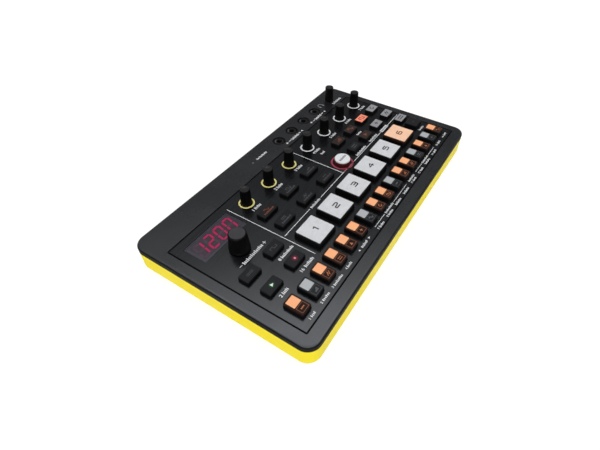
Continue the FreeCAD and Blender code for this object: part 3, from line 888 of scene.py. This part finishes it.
# Top, side and ink of each kind of button
LOOKS = {
    "black": (key_black, key_side, ink_grey), "grey": (key_grey, key_side, ink_dark),
    "dim": (dim_face, key_side, ink_ember), "lit": (window_red, lit_side, ink_red),
}


def make_button(node, width, depth, look="black", slot="key_black"):
    """Button with a raised face; gives back the printer for it and its middle."""
    x, y = place_of(node)
    roof, side, _ = LOOKS[look]
    make_cap(node, width, depth, BUTTON_TOP, 0.6, 0.25, side, roof, slot)
    high = make_face(
        node, "face", x, y, width - 2 * BUTTON_MARGIN, depth - 2 * BUTTON_MARGIN, BUTTON_TOP,
        0.4, roof, slot)
    return printer_on(node, high), x, y


TRANSPORT_SIZE = (10.0, 6.2)
for name, form in (("shift_button", "lines"), ("loop_button", "square")):
    on, bx, by = make_button(name, *TRANSPORT_SIZE)
    on.wave(bx, by, 4.2, 1.3, form, ink_grey)

for name, outline, tint, halo in (
    ("play_button", [(1.1, 0), (-0.7, 0.95), (-0.7, -0.95)], ink_green, halo_green),
    ("record_button", disc(0.6, 24), ink_rose, halo_red),
):
    on, bx, by = make_button(name, *TRANSPORT_SIZE)
    # A disc of painted glow under each symbol
    on.raised(-10).ring(bx + 0.2, by, 0.0001, 1.6, halo)
    on.shape(bx + 0.2, by, outline, tint)

for position, form in enumerate(("sine", "square", "steps", "lines", "saw", "dots"), 1):
    on, bx, by = make_button(f"function_button_{position}", 11.4, 6.0)
    tint = ink_ember if position == 1 else ink_grey
    on.wave(bx, by + 0.75, 3.4, 1.5, form, tint, 0.34)
    on.ticks(bx, by - 1.1, 7.6, 1.1, tint, 0.75)

PAGE_SIZE = (9.2, 5.8)
PAGES = (
    ("dim", "steps"), ("dim", "sine"), ("lit", "square"), ("grey", "loop"),
    ("black", "lines"), ("dim", "right"), ("grey", "plus"), ("grey", "saw"),
)
for position, (look, form) in enumerate(PAGES, 1):
    on, bx, by = make_button(f"page_button_{position}", *PAGE_SIZE, look, "key_grey")
    on.wave(bx, by, 4.2, 2.5, form, LOOKS[look][2], 0.6)

on, bx, by = make_button("side_button_upper", *PAGE_SIZE, "grey", "key_grey")
on.wave(bx, by, 5.4, 2.6, "lines", ink_dark, 0.6)
on, bx, by = make_button("side_button_lower", 9.2, 8.3)
on.wave(bx, by, 3.4, 1.2, "plus", ink_grey)

ROUND_RADIUS = 4.7
ROUND_TOP = 3.3


def make_round_button():
    node = "sampling_button"
    x, y = place_of(node)
    z = PANEL + ROUND_TOP
    collar, top_radius = ROUND_RADIUS + 0.75, ROUND_RADIUS - 0.05
    base = Builder()
    base.loft(turned(x, y, [
        (collar, COLLAR_LOW), (collar, COLLAR_HIGH), (ROUND_RADIUS, COLLAR_HIGH),
        (ROUND_RADIUS, z - 1.0),
    ]), button_red)
    stand_in(base, f"{node}_base", node, "button_white")
    profile = [(top_radius, z - 1.0), (top_radius, z - 0.4)]
    profile += [(top_radius - inset, z - drop) for inset, drop in edge_steps(0.4)]
    top = Builder()
    top.loft(turned(x, y, profile), button_white)
    top.piece(f"{node}_top", node, "button_white")
    printer_on(node, z).ticks(x, y, 6.8, 1.7, ink_grey, 0.75)


make_round_button()


# Knobs, as profiles of radius, height and, where they are ribbed, depth of the grooves

SLIM_RIBS = 22
VALUE_RIBS = 40


def make_knob(node, slot, ribs, grip, top, top_material):
    """Knob turned from the profiles of its grip and of its top."""
    x, y = place_of(node)
    steps = ribs * PER_RIB
    body = Builder()
    body.loft(turned(x, y, grip, steps), knob_black, top=False)
    body.loft(turned(x, y, [grip[-1]] + top, steps), top_material, bottom=False)
    stand_in(body, f"{node}_grip", node, slot)


def flank(start, end, height):
    """Radius at a height between two points of a profile."""
    return start[0] + (end[0] - start[0]) * (height - start[1]) / (end[1] - start[1])


def slim_profile():
    low, high = PANEL + 0.4, PANEL + 10.2
    foot, rim = (3.05, low), (2.8, high)
    grip = [
        (1.75, KNOB_FOOT), (1.75, low), (2.9, low), (3.05, low + 0.15), (3.05, low + 0.7),
        (3.03, low + 0.95, 0.26), (flank(foot, rim, high - 1.1), high - 1.1, 0.24),
        (flank(foot, rim, high - 0.8), high - 0.8), (2.8, high - 0.3),
    ]
    grip += [(2.8 - inset, high - drop) for inset, drop in edge_steps(0.3, 3)]
    dish = [(2.1, high), (1.95, high - 0.25), (1.6, high - 0.4), (0.9, high - 0.45)]
    return grip, dish, high


def value_profile():
    low, high = PANEL + 0.5, PANEL + 11.0
    foot, rim = (5.4, low + 1.2), (4.5, high)
    grip = [
        (3.0, KNOB_FOOT), (3.0, low), (5.25, low), (5.4, low + 0.15), (5.4, low + 1.0),
        (5.25, low + 1.2), (flank(foot, rim, low + 1.5) - 0.1, low + 1.5, 0.16),
        (flank(foot, rim, high - 1.5) - 0.02, high - 1.5, 0.14),
        (flank(foot, rim, high - 1.2), high - 1.2), (4.5, high - 0.6),
    ]
    grip += [(4.5 - inset, high - drop) for inset, drop in edge_steps(0.6, 5)]
    return grip, [(3.6, high - 0.06), (2.9, high - 0.08)]


slim_grip, slim_dish, slim_high = slim_profile()
for name in [f"control_knob_{i}" for i in range(1, 8)] + ["volume_knob"]:
    make_knob(name, "knob_black", SLIM_RIBS, slim_grip, slim_dish, knob_top_sheen)
    kx, ky = place_of(name)
    printer_on(name, slim_high).bar(kx, ky + 2.3, 0.55, 0.4, ink_grey)
make_knob("value_knob", "value_knob_grey", VALUE_RIBS, *value_profile(), value_top)


def make_switch():
    """Slide switch in the rear, with a ridged thumb piece."""
    node = "power_switch"
    low, high = body_box(node)
    x, z = (low[0] + high[0]) / 2, (low[2] + high[2]) / 2
    inner, outer = low[1], high[1]
    neck = outer - 2.1
    loops = []
    # From the stem, through the neck, to the face of the thumb piece
    for width, height, y, corner in (
        (1.4, 1.2, inner, 0.1), (1.4, 1.2, neck, 0.1), (2.7, 1.9, neck, 0.2),
        (2.8, 2.0, neck + 0.1, 0.2), (2.8, 2.0, outer - 0.45, 0.2), (2.7, 1.9, outer - 0.35, 0.15),
    ):
        loop = rounded(x, z, width, height, corner, 0.0)
        loops.append([(px, y, pz) for px, pz, _ in loop[::-1]])
    thumb = Builder()
    thumb.loft(loops, part_black)
    for i in range(5):
        ridge = [(x + (i - 2) * 0.56 + px, z + pz) for px, pz in rectangle(0.28, 1.7)[::-1]]
        loops = [[(px, y, pz) for px, pz in ridge] for y in (outer - 0.4, outer)]
        thumb.loft(loops, part_black, smooth=False)
    stand_in(thumb, f"{node}_thumb", node, "key_black")


make_switch()


# Printed marks on the case and the panel

case_marks = Builder()
on_case = Printer(case_marks, PANEL)

YELLOW_RINGS = 3
for index in range(1, 8):
    kx, ky = place_of(f"control_knob_{index}")
    on_case.ring(kx, ky, 3.5, 4.45, ink_yellow if index <= YELLOW_RINGS else ink_white)
    on_case.label(str(index), kx, ky - 6.6, 7.0, 1.9)

bx, by = place_of("sampling_button")
# A dim red ring of painted glow round the button, inside its printed ring
on_case.raised(-5).ring(bx, by, 4.98, 5.8, halo_ring)
on_case.ring(bx, by, 5.8, 6.8, ink_red)

LINE = 0.35
RULE_Y = -7.2
ARROW_Y = 37.2
SOCKET_Y = 43.0
SOCKET_COLUMNS = (16.0, 30.0, 44.0, 58.0)
BRACE_Y = -42.5
NEAR_ROW = -43.2
FAR_ROW = -44.5
# Two long upright lines, then level ones with their row, width, starts and ends
on_case.bar(-49.8, 1.8, LINE, 55.6)
on_case.bar(10.5, 11.85, LINE, 38.3)
for row, line, spans in (
    (RULE_Y, LINE, ((-48.5, -25.5), (-14.5, 11.3), (24.0, 60.5), (70.5, 86.0))),
    (BRACE_Y, 0.25, ((-18.5, -7.0), (4.0, 21.0), (34.5, 44.0), (54.5, 64.0))),
    (ARROW_Y, 0.5, ((19.0, 21.0), (29.6, 31.6), (47.2, 49.2), (57.8, 59.8))),
):
    for start, end in spans:
        on_case.bar((start + end) / 2, row, end - start, line)
on_case.bar(17.65, RULE_Y, 12.7, LINE, ink_pink)
on_case.bar(65.5, RULE_Y + 0.2, 9.0, 2.1)
Printer(case_marks, PANEL + INK_RISE).ticks(65.5, RULE_Y + 0.2, 7.4, 1.1, ink_dark)

# Middle, width and height of each scale, and its pitch where that is special
for x, y, width, height, *pitch in (
    (20.6, 13.2, 3.8, 1.5), (-20.0, RULE_Y, 9.0, 1.5), (35.5, RULE_Y + 1.5, 12.0, 1.6),
    (52.0, RULE_Y + 1.5, 10.0, 1.6), (51.6, 4.4, 5.4, 1.5), (79.6, -27.6, 6.6, 1.3),
    (-31.5, NEAR_ROW, 5.6, 1.3), (-1.5, BRACE_Y, 9.5, 1.2), (28.0, -42.6, 7.5, 1.2),
    (49.2, BRACE_Y, 9.0, 1.2), (-2.2, SOCKET_Y, 9.6, 1.5), (-66.3, -1.0, 14.6, 1.9, 0.95),
    (25.3, ARROW_Y, 7.4, 1.9, 0.75), (53.5, ARROW_Y, 7.4, 1.9, 0.75),
    (79.0, 37.4, 10.4, 1.9, 0.75),
):
    on_case.ticks(x, y, width, height, ink_white, *pitch)

on_case.label("8", -57.2, -13.9, 11.4, 1.75)
on_case.label("2", -76.2, -26.3, 6.0, 1.75)
on_case.label("16", -57.6, -26.3, 10.8, 1.75)

# Signs beside the value knob, and arrows between the sockets
for x, y, size, form in (
    (-75.2, -1.0, 1.9, "minus"), (-57.4, -1.0, 1.9, "plus"),
    (17.2, ARROW_Y, 1.6, "right"), (33.4, ARROW_Y, 1.6, "left"),
    (45.4, ARROW_Y, 1.6, "right"), (61.6, ARROW_Y, 1.6, "left"),
):
    on_case.wave(x, y, size, size, form)

# Marks in front of the step keys
LABEL_WIDTHS = {1: 4.7, 2: 7.0, 3: 9.0, 4: 5.5}
ARROWS = {5: (0.2, "left"), 6: (-0.2, "right")}
for column in range(1, 17):
    x = place_of(f"step_key_{column:02d}")[0]
    row = NEAR_ROW if column < 5 or column > 14 else FAR_ROW
    width = LABEL_WIDTHS.get(column, 6.6)
    if column in ARROWS:
        shift, form = ARROWS[column]
        on_case.wave(x + shift, NEAR_ROW, 1.2, 1.2, form)
    elif column in (9, 10, 13):
        on_case.ticks(x, row, width, 1.25, ink_white, 0.75)
    else:
        on_case.label(str(column), x, row, width, 1.25)

# A dark ring round each socket as painted shade, and a painted glint: a lighter grey arc on its
# face
for x in SOCKET_COLUMNS:
    on_case.ring(x, SOCKET_Y, 3.62, 4.15, knob_black)
    Printer(case_marks, SOCKET_FACE).ring(x, SOCKET_Y, 2.0, 2.7, ink_grey, 80, 160)

# Headphones, as a band and two ear pads
on_case.ring(66.6, 43.5, 1.5, 2.0, ink_dim, -30, 210)
for x in (64.85, 68.35):
    on_case.raised(4).bar(x, 42.3, 0.9, 1.6, ink_dim)

# A black line round the panel's edge: painted shade along the groove between panel and case
low, high = body_box("control_panel")
px, py = place_of("control_panel")
on_case.frame(px, py, high[0] - low[0], high[1] - low[1], 0.3, knob_black)
case_marks.piece("printed_marks", "case", "case_charcoal")

# Marks on the rear face, drawn flat and then stood up so that they read from behind
REAR_ROW = 2.9
rear_marks = Builder()
on_rear = Printer(rear_marks, 0.0)
on_rear.ticks(-66.6, REAR_ROW, 5.6, 1.2, ink_dark, 0.7)
on_rear.wave(-37.0, REAR_ROW, 1.5, 1.5, "left", ink_dark)
on_rear.wave(-23.0, REAR_ROW, 1.5, 1.5, "right", ink_dark)
on_rear.ticks(-30.0, REAR_ROW, 6.2, 1.2, ink_dark, 0.7)
on_rear.bar(0.2, REAR_ROW, LINE, 1.6, ink_dark)
on_rear.ring(-4.2, REAR_ROW, 0.55, 0.85, ink_dark, steps=24)
rear = body_box("bottom_case")[1][1]
rear_marks.points = [(-u, rear + w, v) for u, v, w in rear_marks.points]
rear_marks.piece("rear_marks", "case", "case_yellow")

# Seven-segment digits on the display module
# Each segment's place, in half widths and quarter heights, and whether it lies level
SEGMENTS = {
    "a": (0, 2, True), "b": (1, 1, False), "c": (1, -1, False), "d": (0, -2, True),
    "e": (-1, -1, False), "f": (-1, 1, False), "g": (0, 0, True),
}
SHOWN = ("bc", "abged", "abcdef", "abcdef")
LIT_POINT = 2
DISPLAY_X = -67.0
DISPLAY_Y = 21.6
DIGIT_WIDTH = 4.2
DIGIT_HEIGHT = 8.8
DIGIT_PITCH = 6.9
DIGIT_LINE = 1.2
HALO_LINE = 2.1
SLANT = 0.16
display = Builder()
on_display = Printer(display, GLASS)


def segment(x, y, letter, material, line, hairs):
    column, row, level = SEGMENTS[letter]
    sx, sy = column * DIGIT_WIDTH / 2, row * DIGIT_HEIGHT / 4
    long = (DIGIT_WIDTH if level else DIGIT_HEIGHT / 2) / 2 - 0.14
    thick = line / 2
    outline = [
        (-long, 0), (-long + thick, -thick), (long - thick, -thick), (long, 0),
        (long - thick, thick), (-long + thick, thick),
    ]
    if not level:
        outline = [(-v, u) for u, v in outline]
    moved = [(u + sx + SLANT * (v + sy), v + sy) for u, v in outline]
    on_display.raised(hairs).shape(x, y, moved, material)


shade = rounded(DISPLAY_X, DISPLAY_Y, 27.6, 11.4, 0.6, 0)
display.plate([(x, y) for x, y, _ in shade], GLASS - 0.03, GLASS + 0.005, display_shade)
for place, letters in enumerate(SHOWN):
    x = DISPLAY_X - 0.2 + (place - 1.5) * DIGIT_PITCH
    for order, letter in enumerate("abcdefg"):
        if letter in letters:
            segment(x, DISPLAY_Y, letter, ink_digit, DIGIT_LINE, 0)
            # Under each lit segment, a wider one of painted glow
            segment(x, DISPLAY_Y, letter, halo_digit, HALO_LINE, order - 7)
        else:
            segment(x, DISPLAY_Y, letter, ink_digit_off, DIGIT_LINE, -8)
    point = ink_digit if place == LIT_POINT else ink_digit_off
    on_display.shape(x + 2.6, DISPLAY_Y - DIGIT_HEIGHT / 2, disc(0.5, 16), point)
display.piece("display_digits", "case", "board")

for body_name, builder in marks.items():
    builder.piece(f"{body_name}_marks", body_name)


# Stage

FLOOR_SIZE = 6.0
FLOOR_WHITE = 0.82
FLOOR_GLOW = 0.78
FLOOR_SEEN = 0.3


def make_stage():
    """White paper that glows for the eye and in reflections, and keeps the shadow."""
    mesh = bpy.data.meshes.new("floor")
    corners = [(x, y, 0) for x, y in rectangle(FLOOR_SIZE, FLOOR_SIZE)]
    mesh.from_pydata(corners, [], [(0, 1, 2, 3)])
    floor = put("floor", mesh)
    material = bpy.data.materials.new("floor_paper")
    material.use_nodes = True
    nodes = Nodes(material.node_tree)
    seen = nodes.rays("Is Camera Ray", "Is Glossy Ray", "Is Transmission Ray")
    tones = {6: (*[FLOOR_WHITE] * 3, 1), 7: (*[FLOOR_SEEN] * 3, 1)}
    nodes.fill(nodes.tree.nodes["Principled BSDF"], {
        "Base Color": nodes.add("Mix", {"Factor": seen, **tones}, 2, data_type="RGBA"),
        "Roughness": 0.9, "Specular IOR Level": 0.1, "Emission Color": (1, 1, 1, 1),
        "Emission Strength": nodes.add("MapRange", {"Value": seen, "To Max": FLOOR_GLOW}, "Result"),
    })
    mesh.materials.append(material)


make_stage()

# Brightness of the sky by its height, from 0 at the horizon to 1 straight above
SKY_LEVELS = (
    (0.0, 1.0), (0.12, 1.0), (0.3, 0.14), (0.5, 0.11), (0.62, 0.17), (0.74, 0.28), (0.82, 1.1),
    (0.885, 3.0), (0.93, 2.6), (0.97, 1.2), (1.0, 0.8),
)
SKY_TOP = 3.0


def make_world():
    """A soft light high up all round, a dim band below it, and white where it is looked at."""
    world = bpy.data.worlds.new("studio")
    bpy.context.scene.world = world
    world.use_nodes = True
    nodes = Nodes(world.node_tree)
    place = nodes.add("TexCoord", {}, "Generated")
    height = nodes.add("SeparateXYZ", {"Vector": place}, "Z")
    sky = nodes.add("ValToRGB", {"Fac": height}, "Color")
    ramp = sky.node.color_ramp
    ramp.interpolation = "EASE"
    while len(ramp.elements) < len(SKY_LEVELS):
        ramp.elements.new(0.5)
    for stop, (position, level) in zip(ramp.elements, SKY_LEVELS):
        stop.position = position
        stop.color = (*[level / SKY_TOP] * 3, 1)
    strength = nodes.add("Math", {0: sky, 1: SKY_TOP}, operation="MULTIPLY")
    seen = nodes.rays("Is Camera Ray", "Is Transmission Ray")
    level = nodes.add("Mix", {"Factor": seen, "A": strength, "B": 1.0}, "Result")
    nodes.fill(nodes.tree.nodes["Background"], {"Color": (1, 1, 1, 1), "Strength": level})


make_world()

# A wide soft lamp at the near left
light = bpy.data.lights.new("front_fill", "AREA")
light.shape = "DISK"
light.size = 0.9
light.energy = 6.0
lamp = put("front_fill", light)
lamp.location = (-1.1, -0.65, 0.42)
lamp.rotation_euler = (-lamp.location).to_track_quat("-Z", "Y").to_euler()

view = bpy.context.scene.view_settings
view.view_transform = "Standard"

# Camera at the photograph's angle
camera_data = bpy.data.cameras.new("camera")
camera_data.sensor_width = 36.0
camera_data.lens = 24.366
camera_data.shift_x = -0.0288
camera_data.shift_y = 0.003
camera_data.clip_start = 0.01
camera = put("camera", camera_data)
camera.matrix_world = Matrix((
    (0.533, 0.614, -0.5822, -0.15549),
    (-0.846, 0.3954, -0.3576, -0.09192),
    (0.0106, 0.6832, 0.7302, 0.16651),
    (0.0, 0.0, 0.0, 1.0),
))
bpy.context.scene.camera = camera
